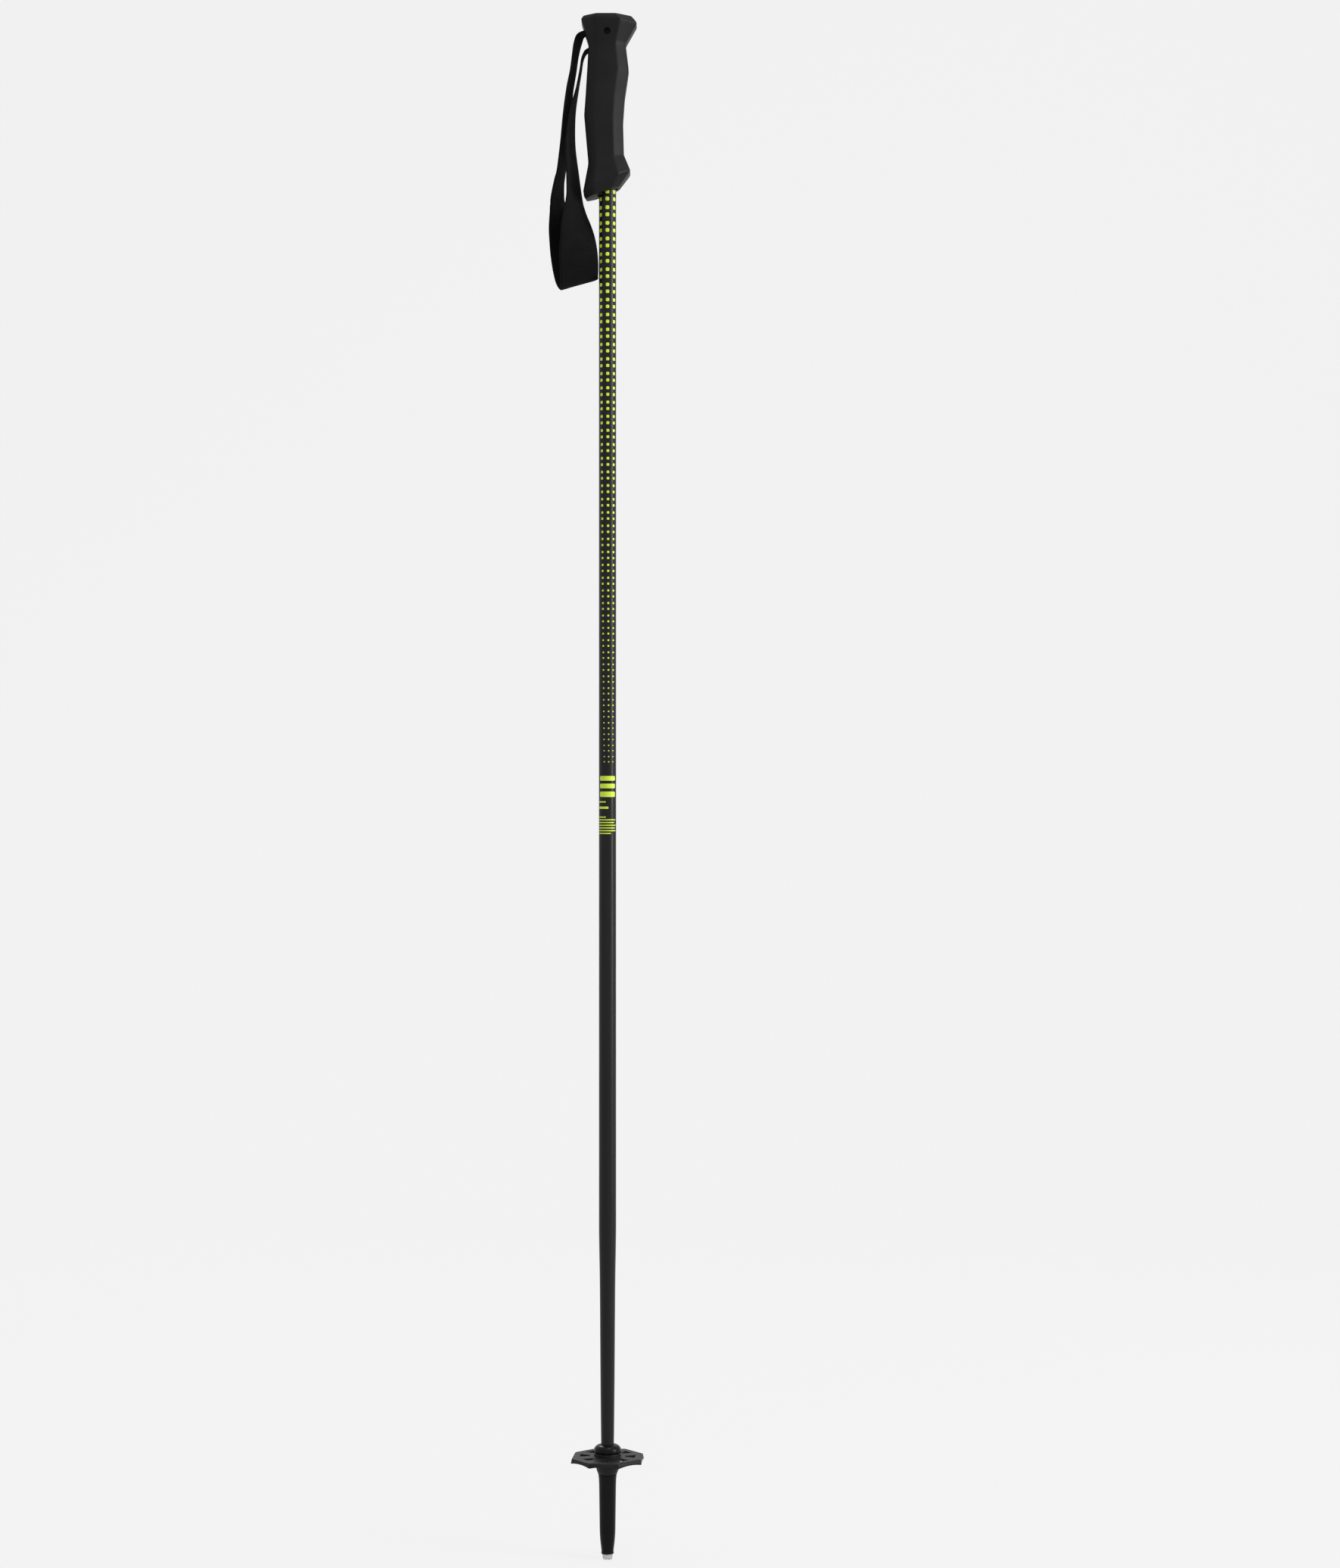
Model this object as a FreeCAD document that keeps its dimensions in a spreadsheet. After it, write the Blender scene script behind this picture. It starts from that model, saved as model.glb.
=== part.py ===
import FreeCAD, Part
import math
import os
import re

import Sketcher

# A ski pole with the tip down: +Z runs up the shaft, +X is the finger side of the grip and the
# strap hangs at -X. The origin is on the shaft's axis at the lowest point of the tip.
# All lengths are in millimetres.

SIZES = {
    # shaft
    "shaft_radius": 7.0,
    "shaft_wall": 1.3,
    "bond_radius": 6.9,
    "shaft_bottom": 22.0,
    "taper_top": 264.0,
    "taper_upper_height": 221.0,
    "taper_upper_radius": 6.3,
    "taper_lower_height": 150.0,
    "taper_lower_radius": 5.8,
    "nose_radius": 5.2,
    "grip_mouth": 1104.0,
    "shaft_top": 1215.0,
    "plug_flange": 2.0,
    "plug_depth": 15.0,
    # ferrule
    "nose_bottom": 4.6,
    "nose_lip_radius": 5.15,
    "nose_end_height": 7.4,
    "nose_end_radius": 5.0,
    "nose_bulge_height": 17.0,
    "nose_bulge_radius": 6.1,
    "nose_waist_height": 37.0,
    "nose_waist_radius": 6.6,
    "nose_top_height": 61.0,
    "nose_top_radius": 6.95,
    "shoulder_height": 69.0,
    "shoulder_radius": 7.5,
    "seat_radius": 6.6,
    "dome_bottom": 86.6,
    "dome_edge_height": 89.0,
    "dome_radius": 10.8,
    "dome_top": 92.6,
    "dome_top_radius": 7.0,
    # basket
    "basket_radius": 31.0,
    "basket_top_radius": 30.3,
    "basket_bottom": 79.5,
    "basket_top": 83.6,
    "basket_wall": 2.0,
    "basket_bore": 6.66,
    "hub_radius": 10.9,
    "hub_top": 86.4,
    "hub_waist_height": 77.0,
    "hub_waist_radius": 9.8,
    "hub_skirt_radius": 7.7,
    "hub_bottom": 69.3,
    "scallop_depth": 1.1,
    "scallop_chord": 22.4,
    "scallop_reach": 7.5,
    "window_inner": 14.6,
    "window_outer": 22.4,
    "window_inner_half": 2.1,
    "window_outer_half": 4.5,
    # tip insert
    "tip_radius": 3.7,
    "tip_collar_radius": 4.4,
    "tip_hollow_depth": 1.6,
    "tip_rim": 0.9,
    "tip_notch": 0.8,
    "tip_shank_radius": 2.5,
    "tip_shank_top": 20.0,
    # grip core and the strap's chamber
    "core_radius": 9.5,
    "core_bottom": 1113.0,
    "head_radius": 12.0,
    "head_bottom": 1219.0,
    "head_top": 1245.0,
    "mouth_radius": 8.4,
    "fit_gap": 0.05,
    "chamber_bottom": 1220.5,
    "chamber_top": 1241.5,
    "chamber_half_width": 7.9,
    "chamber_back": 12.5,
    "chamber_front": 6.0,
    "pin_height": 1236.0,
    "pin_radius": 1.75,
    "pin_half_length": 11.6,
    "pin_hole_radius": 2.1,
    "upper_exit": 1236.8,
    "lower_exit": 1224.2,
    "lower_slot_rise": 0.7,
    "slot_half_height": 1.9,
    "slot_reach": 26.0,
    # webbing
    "webbing": 1.5,
    "webbing_width": 15.0,
    "upper_anchor_end": 16.4,
    "lower_anchor_end": 14.4,
}

BASKET_SIDES = 8
BASKET_TURN = 17.6
TIP_CUTS = 4

# The grip is faceted: an eight-sided section runs through these stations. Each row gives the
# back edge (x, z), the front edge (x, z), the half width, and how far the chamfers come in
# from the back and from the front. A station tilts where its front and back differ in height.
GRIP_STATIONS = (
    ("rim", (-16.8, 1102.7), (9.6, 1112.0), 12.6, 6.6, 6.4),
    ("flare", (-19.6, 1107.4), (18.8, 1124.6), 17.8, 8.6, 9.4),
    ("waist", (-15.4, 1130.8), (13.3, 1138.2), 14.0, 6.6, 8.0),
    ("palm", (-18.8, 1169.6), (12.6, 1165.0), 15.2, 7.2, 8.0),
    ("fingers", (-17.6, 1186.0), (13.9, 1184.0), 14.8, 7.0, 8.2),
    ("bump", (-16.3, 1207.0), (17.3, 1207.0), 14.4, 6.8, 8.6),
    ("neck", (-15.2, 1227.6), (14.8, 1227.6), 14.0, 6.0, 8.2),
    ("hood", (-21.4, 1247.3), (24.2, 1244.6), 19.4, 11.4, 13.4),
    ("top", (-19.4, 1250.0), (19.5, 1250.0), 18.4, 10.6, 12.6),
)

# Both runs of the strap, from the grip down to the turn at the bottom. Each row gives the
# middle of the webbing (x, y, z), its width, how far it is twisted about the vertical, and how
# far its far edge is lifted. The outer run is at the back and the inner run nearer the grip.
OUTER_RUN = (
    ((-22.6, 0.0, 1231.6), 15.0, 20.0, 0.0),
    ((-25.6, 0.0, 1223.0), 15.4, 17.5, 0.0),
    ((-27.9, 0.0, 1207.0), 16.2, 15.0, 0.0),
    ((-30.6, 0.0, 1192.0), 17.6, 15.5, 0.0),
    ((-32.9, 0.4, 1172.0), 19.8, 16.0, 0.0),
    ((-35.0, 0.9, 1148.0), 22.3, 15.0, 0.0),
    ((-37.7, 1.9, 1126.0), 24.7, 13.5, 0.0),
    ((-39.3, 2.4, 1117.5), 25.7, 15.5, 0.0),
    ((-40.6, 3.3, 1105.0), 27.1, 21.0, 0.0),
    ((-40.2, 4.0, 1099.0), 27.8, 27.0, 0.0),
    ((-38.9, 4.8, 1093.0), 28.6, 36.0, 0.0),
    ((-36.4, 7.2, 1082.0), 29.9, 51.0, 0.0),
    ((-33.7, 9.7, 1071.0), 31.0, 63.0, 1.0),
    ((-31.5, 11.9, 1060.0), 31.9, 71.0, 4.0),
    ((-29.4, 12.2, 1049.0), 32.3, 74.0, 8.0),
    ((-27.0, 9.2, 1040.0), 32.5, 74.0, 13.0),
    ((-24.6, 4.7, 1035.6), 32.5, 74.0, 16.0),
    ((-23.0, 0.0, 1034.4), 32.5, 74.0, 17.5),
)
INNER_RUN = (
    ((-17.9, 0.0, 1221.9), 15.0, 2.0, 0.0),
    ((-20.3, 0.0, 1216.5), 15.3, 1.0, 0.0),
    ((-21.9, 0.0, 1207.0), 16.2, 1.0, 0.0),
    ((-24.6, 0.0, 1192.0), 17.6, 3.0, 0.0),
    ((-28.5, -0.4, 1172.0), 19.8, 12.0, 0.0),
    ((-30.0, -0.9, 1148.0), 22.3, 18.6, 0.0),
    ((-28.4, -1.9, 1126.0), 24.7, 22.1, 0.0),
    ((-27.7, -2.4, 1117.5), 25.7, 23.2, 0.0),
    ((-26.7, -3.3, 1105.0), 27.1, 26.0, 0.0),
    ((-26.3, -4.0, 1099.0), 27.8, 30.0, 0.0),
    ((-25.9, -4.8, 1093.0), 28.6, 36.5, 0.0),
    ((-24.8, -7.2, 1082.0), 29.9, 51.0, 0.0),
    ((-23.8, -9.7, 1071.0), 31.0, 63.0, 1.0),
    ((-23.2, -11.9, 1060.0), 31.9, 71.0, 4.0),
    ((-22.7, -12.2, 1049.0), 32.3, 74.0, 8.0),
    ((-22.6, -9.2, 1040.0), 32.5, 74.0, 13.0),
    ((-22.8, -4.7, 1035.6), 32.5, 74.0, 16.0),
    ((-23.0, 0.0, 1034.4), 32.5, 74.0, 17.5),
)

os.makedirs("parts", exist_ok=True)
doc = FreeCAD.newDocument("ski_pole")
sheet = doc.addObject("Spreadsheet::Sheet", "Sizes")
for line, (alias, size) in enumerate(SIZES.items(), start=1):
    sheet.set(f"A{line}", alias)
    sheet.set(f"B{line}", str(size))
    sheet.setAlias(f"B{line}", alias)
doc.recompute()


# ---------------------------------------------------------------- helpers


def bound(text):
    """An expression in which each size's name points at its cell."""
    names = "|".join(sorted(SIZES, key=len, reverse=True))
    return re.sub(rf"\b({names})\b", r"Sizes.\1", text)


def value(text):
    """The number that an expression gives now."""
    result = sheet.evalExpression(bound(text))
    return float(getattr(result, "Value", result))


def bind(thing, **properties):
    """Set properties of an object from expressions."""
    for name, text in properties.items():
        thing.setExpression(name, bound(text))


def new_body(name):
    body = doc.addObject("PartDesign::Body", name)
    body.Label = name
    return body


def plane_of(body, role):
    return next(item for item in body.Origin.OriginFeatures if item.Role == role)


def sketch_on(body, name, role, height=None):
    """A sketch on one of the body's own planes, lifted to a height where one is given."""
    sketch = body.newObject("Sketcher::SketchObject", name)
    sketch.AttachmentSupport = [(plane_of(body, role), "")]
    sketch.MapMode = "FlatFace"
    if height is not None:
        lifted = FreeCAD.Vector(0, 0, value(height))
        sketch.AttachmentOffset = FreeCAD.Placement(lifted, FreeCAD.Rotation())
        sketch.setExpression("AttachmentOffset.Base.z", bound(height))
    return sketch


def outline(sketch, corners, arcs=()):
    """A closed outline whose corners are pairs of expressions.

    An entry of arcs names the corner that an arc ends at, with the arc's middle point.
    """
    places = [FreeCAD.Vector(value(x), value(y), 0) for x, y in corners]
    middles = dict(arcs)
    for number, end in enumerate(places):
        start = places[number - 1]
        if number in middles:
            middle = FreeCAD.Vector(*[value(part) for part in middles[number]], 0)
            sketch.addGeometry(Part.Arc(start, middle, end), False)
        else:
            sketch.addGeometry(Part.LineSegment(start, end), False)
    for number, (x, y) in enumerate(corners):
        following = (number + 1) % len(corners)
        arc_is_flipped = number in middles and not starts_at(sketch, number, places[number - 1])
        next_is_flipped = following in middles and not starts_at(sketch, following, places[number])
        end_point = 1 if arc_is_flipped else 2
        start_point = 2 if next_is_flipped else 1
        sketch.addConstraint(Sketcher.Constraint("Coincident", number, end_point, following, start_point))
        for kind, text in (("DistanceX", x), ("DistanceY", y)):
            size = value(text)
            index = sketch.addConstraint(Sketcher.Constraint(kind, -1, 1, number, end_point, size))
            sketch.setExpression(f"Constraints[{index}]", bound(text))


def starts_at(sketch, number, place):
    return (sketch.Geometry[number].StartPoint - place).Length < 0.001


def circle(sketch, radius, x="0", y="0"):
    centre = FreeCAD.Vector(value(x), value(y), 0)
    up = FreeCAD.Vector(0, 0, 1)
    ring = sketch.addGeometry(Part.Circle(centre, up, value(radius)), False)
    size = sketch.addConstraint(Sketcher.Constraint("Radius", ring, value(radius)))
    sketch.setExpression(f"Constraints[{size}]", bound(radius))
    for kind, text in (("DistanceX", x), ("DistanceY", y)):
        index = sketch.addConstraint(Sketcher.Constraint(kind, -1, 1, ring, 3, value(text)))
        sketch.setExpression(f"Constraints[{index}]", bound(text))


def revolve(body, name, corners, arcs=()):
    """Turn an outline of (radius, height) corners about the pole's axis."""
    sketch = sketch_on(body, f"{name}_profile", "XZ_Plane")
    outline(sketch, corners, arcs)
    turned = body.newObject("PartDesign::Revolution", name)
    turned.Profile = sketch
    turned.ReferenceAxis = (sketch, ["V_Axis"])
    turned.Angle = 360.0
    sketch.Visibility = False
    return turned


def cylinder(name, radius, bottom, top):
    tool = doc.addObject("Part::Cylinder", name)
    bind(tool, Radius=radius, Height=f"{top} - ({bottom})")
    tool.setExpression("Placement.Base.z", bound(bottom))
    return tool


def cross_hole(name, radius, half_length):
    """A cylinder along Y through the hood, at the height of the cross pin."""
    tool = doc.addObject("Part::Cylinder", name)
    bind(tool, Radius=radius, Height=f"2 * {half_length}")
    sideways = FreeCAD.Rotation(FreeCAD.Vector(1, 0, 0), 90)
    tool.Placement = FreeCAD.Placement(FreeCAD.Vector(0, 0, 0), sideways)
    tool.setExpression("Placement.Base.y", bound(half_length))
    tool.setExpression("Placement.Base.z", bound("pin_height"))
    return tool


def block(name, back, front, half_width, bottom, top):
    """A box between two distances behind and in front of the axis."""
    tool = doc.addObject("Part::Box", name)
    bind(tool, Length=f"{back} + {front}", Width=f"2 * {half_width}", Height=f"{top} - ({bottom})")
    tool.setExpression("Placement.Base.x", bound(f"-({back})"))
    tool.setExpression("Placement.Base.y", bound(f"-({half_width})"))
    tool.setExpression("Placement.Base.z", bound(bottom))
    return tool


def pocket(body, name, sketch, length):
    """Cut a sketch into the body, and make sure that it takes something away."""
    doc.recompute()
    before = body.Shape.Volume
    hollow = body.newObject("PartDesign::Pocket", name)
    hollow.Profile = sketch
    bind(hollow, Length=length)
    sketch.Visibility = False
    doc.recompute()
    if body.Shape.Volume > before - 0.1:
        raise RuntimeError(f"{name} cuts nothing")
    return hollow


def around(body, name, features, count, angle):
    """Repeat features about the pole's axis."""
    pattern = body.newObject("PartDesign::PolarPattern", name)
    pattern.Originals = features
    pattern.Axis = (plane_of(body, "Z_Axis"), [""])
    pattern.Angle = angle
    pattern.Occurrences = count
    body.Tip = pattern
    doc.recompute()
    return pattern


def fuse(name, tools):
    whole = doc.addObject("Part::MultiFuse", name)
    whole.Shapes = tools
    return whole


def cut(name, base, tool):
    left = doc.addObject("Part::Cut", name)
    left.Base = base
    left.Tool = tool
    left.Label = name
    return left


# ---------------------------------------------------------------- shaft


def make_shaft_tube():
    """Hollow tube: straight to taper_top, then down to the nose inside the ferrule."""
    body = new_body("shaft_tube")
    outside = [
        ("nose_radius", "shaft_bottom"),
        ("nose_radius", "dome_top"),
        ("taper_lower_radius", "taper_lower_height"),
        ("taper_upper_radius", "taper_upper_height"),
        ("shaft_radius", "taper_top"),
        ("shaft_radius", "grip_mouth"),
        ("bond_radius", "grip_mouth"),
        ("bond_radius", "shaft_top"),
    ]
    inside = [
        ("shaft_radius - shaft_wall", "shaft_top"),
        ("shaft_radius - shaft_wall", "taper_top"),
        ("taper_upper_radius - shaft_wall", "taper_upper_height"),
        ("taper_lower_radius - shaft_wall", "taper_lower_height"),
        ("nose_radius - shaft_wall", "dome_top"),
        ("nose_radius - shaft_wall", "shaft_bottom"),
    ]
    revolve(body, "tube", outside + inside)
    return body


def make_shaft_top_plug():
    body = new_body("shaft_top_plug")
    spigot = "shaft_radius - shaft_wall - fit_gap"
    corners = [
        ("0", "shaft_top - plug_depth"),
        (spigot, "shaft_top - plug_depth"),
        (spigot, "shaft_top"),
        ("bond_radius", "shaft_top"),
        ("bond_radius", "shaft_top + plug_flange"),
        ("0", "shaft_top + plug_flange"),
    ]
    revolve(body, "plug", corners)
    return body


# ---------------------------------------------------------------- ferrule, basket and tip


def make_tip_ferrule():
    """One moulding: domed stop, basket seat, shoulder and long nose, bored for the shaft."""
    body = new_body("tip_ferrule")
    corners = [
        ("tip_shank_radius + fit_gap", "nose_bottom"),
        ("nose_lip_radius", "nose_bottom"),
        ("nose_end_radius", "nose_bottom + 1"),
        ("nose_end_radius", "nose_end_height"),
        ("nose_bulge_radius", "nose_bulge_height"),
        ("nose_waist_radius", "nose_waist_height"),
        ("nose_top_radius", "nose_top_height"),
        ("shoulder_radius", "shoulder_height - 1"),
        ("shoulder_radius", "shoulder_height"),
        ("seat_radius", "shoulder_height"),
        ("seat_radius", "dome_bottom"),
        ("dome_radius - 0.6", "dome_bottom"),
        ("dome_radius", "dome_bottom + 0.6"),
        ("dome_radius", "dome_edge_height"),
        ("dome_top_radius", "dome_top"),
        ("nose_radius + fit_gap", "dome_top"),
        ("nose_radius + fit_gap", "shaft_bottom"),
        ("tip_shank_radius + fit_gap", "shaft_bottom"),
    ]
    bulge = ("nose_bulge_radius - 0.35", "(nose_end_height + nose_bulge_height) / 2")
    dome = ("dome_radius - 0.9", "dome_edge_height + 2.3")
    revolve(body, "moulding", corners, arcs=((4, bulge), (14, dome)))
    return body


def basket_corners(radius):
    """Corners of the basket's eight-sided outline, as expressions."""
    step = 360.0 / BASKET_SIDES
    turns = [BASKET_TURN + step * side for side in range(BASKET_SIDES)]
    return [(f"({radius}) * cos({turn})", f"({radius}) * sin({turn})") for turn in turns]


def basket_loft(body, kind, name, lower, lower_height, upper, upper_height):
    """An eight-sided tapering solid added to the basket, or taken from it."""
    sections = []
    for end, radius, height in (("lower", lower, lower_height), ("upper", upper, upper_height)):
        sketch = sketch_on(body, f"{name}_{end}", "XY_Plane", height)
        outline(sketch, basket_corners(radius))
        sketch.Visibility = False
        sections.append(sketch)
    doc.recompute()
    loft = body.newObject(kind, name)
    loft.Profile = sections[0]
    loft.Sections = [sections[1]]
    loft.Ruled = True
    doc.recompute()
    return loft


def make_basket():
    """Umbrella-shaped basket: hub, flat top, sloping rim with arched edges, and windows."""
    body = new_body("basket")
    basket_loft(
        body, "PartDesign::AdditiveLoft", "umbrella",
        "basket_radius", "basket_bottom", "basket_top_radius", "basket_top",
    )
    basket_loft(
        body, "PartDesign::SubtractiveLoft", "underside",
        "basket_radius - basket_wall + 0.17", "basket_bottom - 1",
        "basket_top_radius - basket_wall", "basket_top - basket_wall",
    )
    revolve(body, "hub", [
        ("basket_bore", "hub_bottom"),
        ("hub_skirt_radius", "hub_bottom"),
        ("hub_skirt_radius + 1.3", "hub_bottom + 3.4"),
        ("hub_waist_radius", "hub_waist_height"),
        ("hub_waist_radius + 0.6", "basket_top - basket_wall"),
        ("hub_radius", "basket_top"),
        ("hub_radius", "hub_top - 0.6"),
        ("hub_radius - 0.6", "hub_top"),
        ("basket_bore", "hub_top"),
    ])
    doc.recompute()
    bore_sketch = sketch_on(body, "bore_outline", "XY_Plane", "hub_top")
    circle(bore_sketch, "basket_bore")
    pocket(body, "bore", bore_sketch, "hub_top - hub_bottom")

    side_turn = BASKET_TURN + 180.0 / BASKET_SIDES
    window_sketch = sketch_on(body, "window_outline", "XY_Plane")
    window_sketch.AttachmentOffset = FreeCAD.Placement(
        FreeCAD.Vector(0, 0, value("basket_top + 1")),
        FreeCAD.Rotation(FreeCAD.Vector(0, 0, 1), side_turn),
    )
    window_sketch.setExpression("AttachmentOffset.Base.z", bound("basket_top + 1"))
    outline(window_sketch, [
        ("window_inner", "-window_inner_half"),
        ("window_outer", "-window_outer_half"),
        ("window_outer", "window_outer_half"),
        ("window_inner", "window_inner_half"),
    ])
    window = pocket(body, "window", window_sketch, "basket_wall + 2")

    reach = value("basket_radius + 1")
    turn = math.radians(side_turn)
    arch_sketch = sketch_on(body, "arch_outline", "YZ_Plane")
    arch_sketch.AttachmentOffset = FreeCAD.Placement(
        FreeCAD.Vector(reach * math.sin(turn), 0, reach * math.cos(turn)),
        FreeCAD.Rotation(FreeCAD.Vector(0, 1, 0), side_turn),
    )
    arch_radius = "(scallop_chord ^ 2 / 4 + scallop_depth ^ 2) / (2 * scallop_depth)"
    circle(arch_sketch, arch_radius, "0", f"basket_bottom + scallop_depth - {arch_radius}")
    arch = pocket(body, "arch", arch_sketch, "scallop_reach")
    around(body, "round_the_hub", [window, arch], BASKET_SIDES, 360.0)
    return body


def make_tip_insert():
    """Metal tip: shank in the ferrule, tapered collar and a hollow crown with notches."""
    body = new_body("tip_insert")
    revolve(body, "pin", [
        ("0", "tip_hollow_depth"),
        ("tip_radius - tip_rim", "0"),
        ("tip_radius", "0"),
        ("tip_collar_radius", "nose_bottom"),
        ("tip_shank_radius", "nose_bottom"),
        ("tip_shank_radius", "tip_shank_top"),
        ("0", "tip_shank_top"),
    ])
    doc.recompute()
    notch_sketch = sketch_on(body, "notch_outline", "XZ_Plane")
    outline(notch_sketch, [
        ("-tip_notch", "-0.01"),
        ("tip_notch", "-0.01"),
        ("0", "tip_notch"),
    ])
    notch = pocket(body, "notch", notch_sketch, "4 * tip_radius")
    notch.Midplane = True
    around(body, "round_the_crown", [notch], TIP_CUTS, 180.0 - 180.0 / TIP_CUTS)
    return body


# ---------------------------------------------------------------- grip


def station_wire(back, front, half_width, back_chamfer, front_chamfer):
    """The eight-sided section of one grip station, closed."""
    rise = (front[1] - back[1]) / (front[0] - back[0])
    back_flat = half_width - 0.8 * back_chamfer
    front_flat = half_width - 0.8 * front_chamfer
    half = [
        (front[0], front_flat),
        (front[0] - front_chamfer, half_width),
        (back[0] + back_chamfer, half_width),
        (back[0], back_flat),
    ]
    corners = half + [(x, -y) for x, y in reversed(half)]
    points = [FreeCAD.Vector(x, y, back[1] + rise * (x - back[0])) for x, y in corners]
    return Part.makePolygon(points + points[:1])


def make_grip_form():
    """The outside of the grip as one solid of flat and gently twisted facets."""
    wires = [station_wire(*row) for name, *row in GRIP_STATIONS]
    form = doc.addObject("Part::Feature", "grip_form")
    form.Shape = Part.makeLoft(wires, True, True)
    return form


def core_outside(prefix):
    """The core's outside: a sleeve with a wider head. It is also the hollow in the cover."""
    return [
        cylinder(f"{prefix}_sleeve", "core_radius", "core_bottom", "head_bottom"),
        cylinder(f"{prefix}_head", "head_radius", "head_bottom", "head_top"),
    ]


def strap_chamber(prefix):
    """The hollow behind and round the cross pin, through the back of the core."""
    return block(
        f"{prefix}_chamber", "chamber_back", "chamber_front", "chamber_half_width",
        "chamber_bottom", "chamber_top",
    )


def strap_slots():
    """The two mouths in the back of the cover that the webbing leaves through."""
    slots = []
    for name, height in (("upper", "upper_exit"), ("lower", "(lower_exit + lower_slot_rise)")):
        slot = block(
            f"{name}_slot", "slot_reach", "0", "chamber_half_width",
            f"{height} - slot_half_height", f"{height} + slot_half_height",
        )
        slots.append(slot)
    return slots


def make_grip_core():
    """Rigid core, bonded to the shaft, with the chamber where the strap goes round its pin."""
    outside = fuse("core_solid", core_outside("core"))
    tools = [
        cylinder("core_bore", "bond_radius + fit_gap", "core_bottom - 1", "shaft_top + plug_flange"),
        strap_chamber("core"),
        cross_hole("core_pin_hole", "pin_radius + fit_gap", "pin_half_length + 1"),
    ]
    return cut("grip_core", outside, fuse("core_hollows", tools))


def make_grip_cover(form):
    """Soft faceted cover moulded over the core."""
    tools = core_outside("cover") + [
        cylinder("mouth", "mouth_radius", "grip_mouth - 12", "core_bottom"),
        strap_chamber("cover"),
        cross_hole("cover_pin_hole", "pin_hole_radius", "slot_reach"),
    ]
    return cut("grip_cover", form, fuse("cover_hollows", tools + strap_slots()))


def make_strap_pin():
    pin = cross_hole("strap_pin", "pin_radius", "pin_half_length")
    pin.Label = "strap_pin"
    return pin


# ---------------------------------------------------------------- strap


def tangent_direction(start, centre, radius, side):
    """The turn from the axis +X of the line from start that touches a circle on one side."""
    away = centre - start
    return math.atan2(away.z, away.x) + side * math.asin(radius / away.Length)


def beside(place, turn, distance):
    """A point at a distance from a place, square to a line that is turned from the axis +X."""
    return place + FreeCAD.Vector(-math.sin(turn), 0, math.cos(turn)) * distance


def make_strap_anchor():
    """Webbing in the chamber: in at the upper slot, round the pin and out at the lower one."""
    thickness = value("webbing")
    radius = value("pin_radius + fit_gap + webbing / 2")
    centre = FreeCAD.Vector(0, 0, value("pin_height"))
    upper = FreeCAD.Vector(-value("upper_anchor_end"), 0, value("upper_exit"))
    lower = FreeCAD.Vector(-value("lower_anchor_end"), 0, value("lower_exit"))
    upper_turn = tangent_direction(upper, centre, radius, 1)
    lower_turn = tangent_direction(lower, centre, radius, -1)

    outer = radius + thickness / 2
    inner = radius - thickness / 2
    front = FreeCAD.Vector(1, 0, -0.2).normalize()
    corners = [
        beside(upper, upper_turn, thickness / 2),
        beside(centre, upper_turn, outer),
        beside(centre, lower_turn, -outer),
        beside(lower, lower_turn, -thickness / 2),
        beside(lower, lower_turn, thickness / 2),
        beside(centre, lower_turn, -inner),
        beside(centre, upper_turn, inner),
        beside(upper, upper_turn, -thickness / 2),
    ]
    edges = [Part.LineSegment(*corners[:2]), Part.Arc(corners[1], centre + front * outer, corners[2])]
    edges += [Part.LineSegment(*corners[start:start + 2]) for start in (2, 3, 4)]
    edges.append(Part.Arc(corners[5], centre + front * inner, corners[6]))
    edges += [Part.LineSegment(corners[6], corners[7]), Part.LineSegment(corners[7], corners[0])]
    width = value("webbing_width")
    outside = Part.Wire([edge.toShape() for edge in edges])
    band = Part.Face(outside).extrude(FreeCAD.Vector(0, width, 0))
    band.translate(FreeCAD.Vector(0, -width / 2, 0))
    anchor = doc.addObject("Part::Feature", "strap_anchor")
    anchor.Shape = band
    anchor.Label = "strap_anchor"
    return anchor


def run_section(row, along, thickness):
    """The webbing's rectangular section at one row of a run, square to the run."""
    middle, width, twist, lift = row
    twist = math.radians(twist)
    lift = math.radians(lift)
    across = FreeCAD.Vector(math.sin(twist), math.cos(twist), math.tan(lift)).normalize()
    through = across.cross(along).normalize() * (thickness / 2)
    half = across * (width / 2)
    centre = FreeCAD.Vector(*middle)
    corners = ((-1, -1), (1, -1), (1, 1), (-1, 1))
    points = [centre + half * side + through * face for side, face in corners]
    return Part.makePolygon(points + points[:1])


def make_run(name, rows, last_direction):
    """One run of the strap: a band lofted from section to section."""
    middles = [FreeCAD.Vector(*row[0]) for row in rows]
    wires = []
    for number, row in enumerate(rows):
        before = middles[max(number - 1, 0)]
        after = middles[min(number + 1, len(rows) - 1)]
        along = (after - before).normalize()
        if number == len(rows) - 1:
            along = last_direction
        wires.append(run_section(row, along, value("webbing")))
    run = doc.addObject("Part::Feature", name)
    run.Shape = Part.makeLoft(wires, True, True)
    run.Label = name
    return run


# ---------------------------------------------------------------- the whole pole

grip_form = make_grip_form()
bottom_direction = FreeCAD.Vector(0.28, -1, 0).normalize()
pieces = [
    make_shaft_tube(),
    make_shaft_top_plug(),
    make_tip_ferrule(),
    make_basket(),
    make_tip_insert(),
    make_grip_core(),
    make_grip_cover(grip_form),
    make_strap_pin(),
    make_strap_anchor(),
    make_run("strap_outer_run", OUTER_RUN, bottom_direction),
    make_run("strap_inner_run", INNER_RUN, bottom_direction * -1),
]
doc.recompute()

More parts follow.
